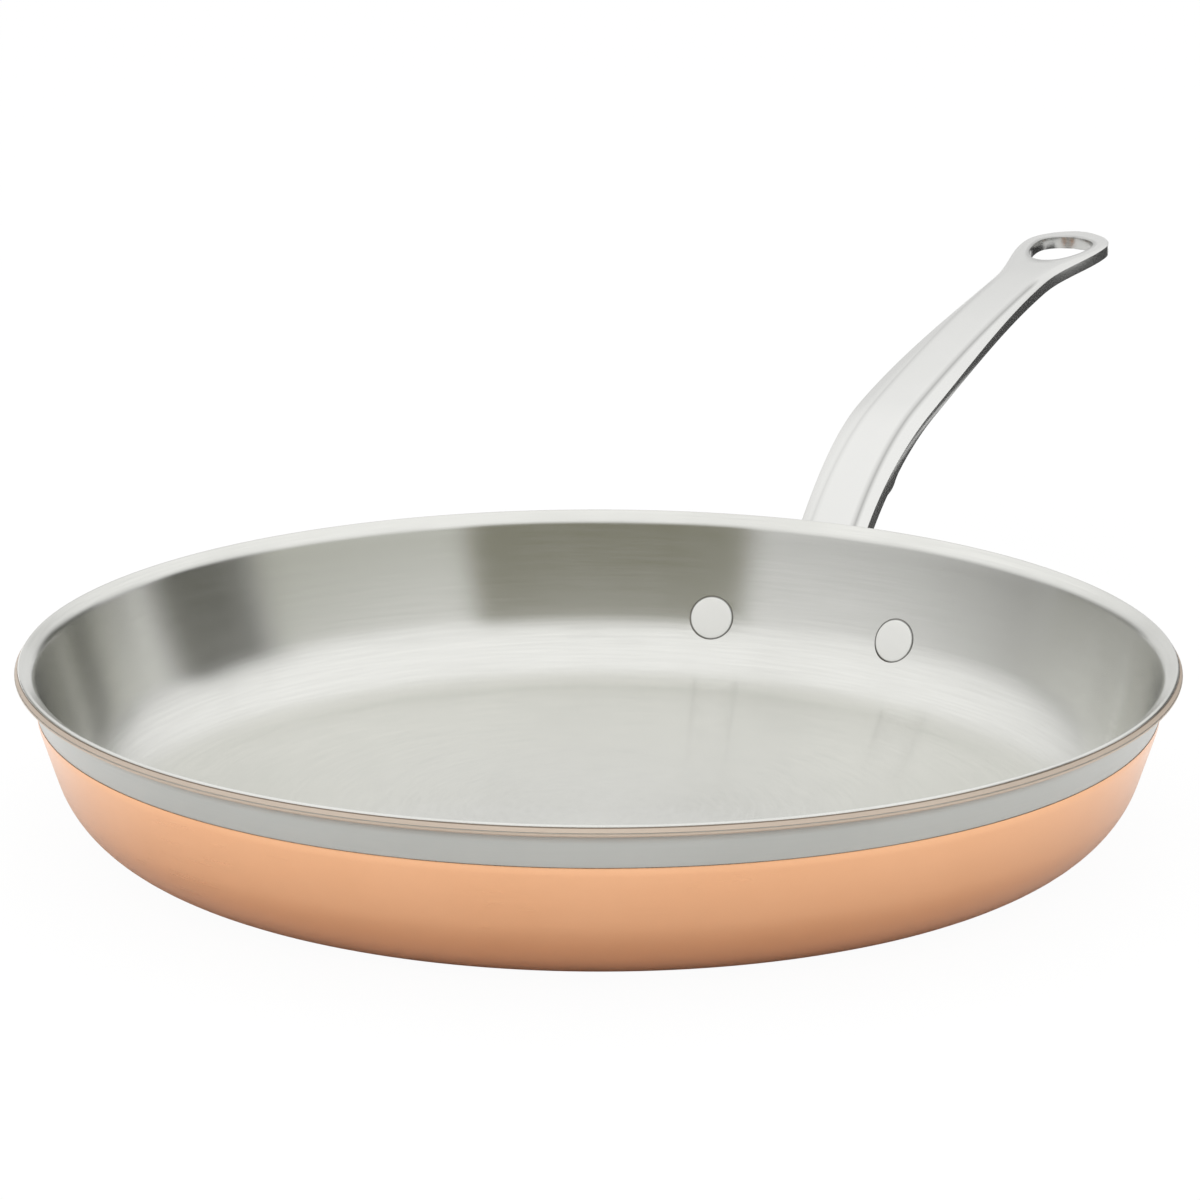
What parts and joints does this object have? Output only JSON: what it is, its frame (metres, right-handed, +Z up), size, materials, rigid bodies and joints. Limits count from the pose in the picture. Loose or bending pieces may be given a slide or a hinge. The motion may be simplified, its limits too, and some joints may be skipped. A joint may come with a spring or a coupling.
{
  "type": "frying pan",
  "caption": "Round shallow frying pan of bonded metal plies with a copper outside, a bare steel band, a flared pouring lip and a long riveted cast handle that ends in a hanging loop.",
  "frame": {"origin": "centre of the flat base's underside, on the surface that the pan stands on", "axes": "+Z up along the bowl's axis, +X along the handle away from the bowl"},
  "size_m": [0.4868, 0.2884, 0.0901],
  "materials": {
    "cooking_steel": "fine circular brushing, satin",
    "core_aluminium": "bare, shown only at the cut edge of the lip",
    "band_steel": "satin grey",
    "copper": null,
    "handle_steel": "polished cast stainless steel",
    "rivet_steel": "polished, flush heads"
  },
  "bodies": {
    "root": {"cooking_surface": "cooking_steel", "aluminium_core": "core_aluminium", "steel_band_ply": "band_steel", "copper_body": "copper", "copper_lip_ring": "copper", "handle": "handle_steel", "rivet_left": "rivet_steel", "rivet_right": "rivet_steel"}
  },
  "joints": []
}
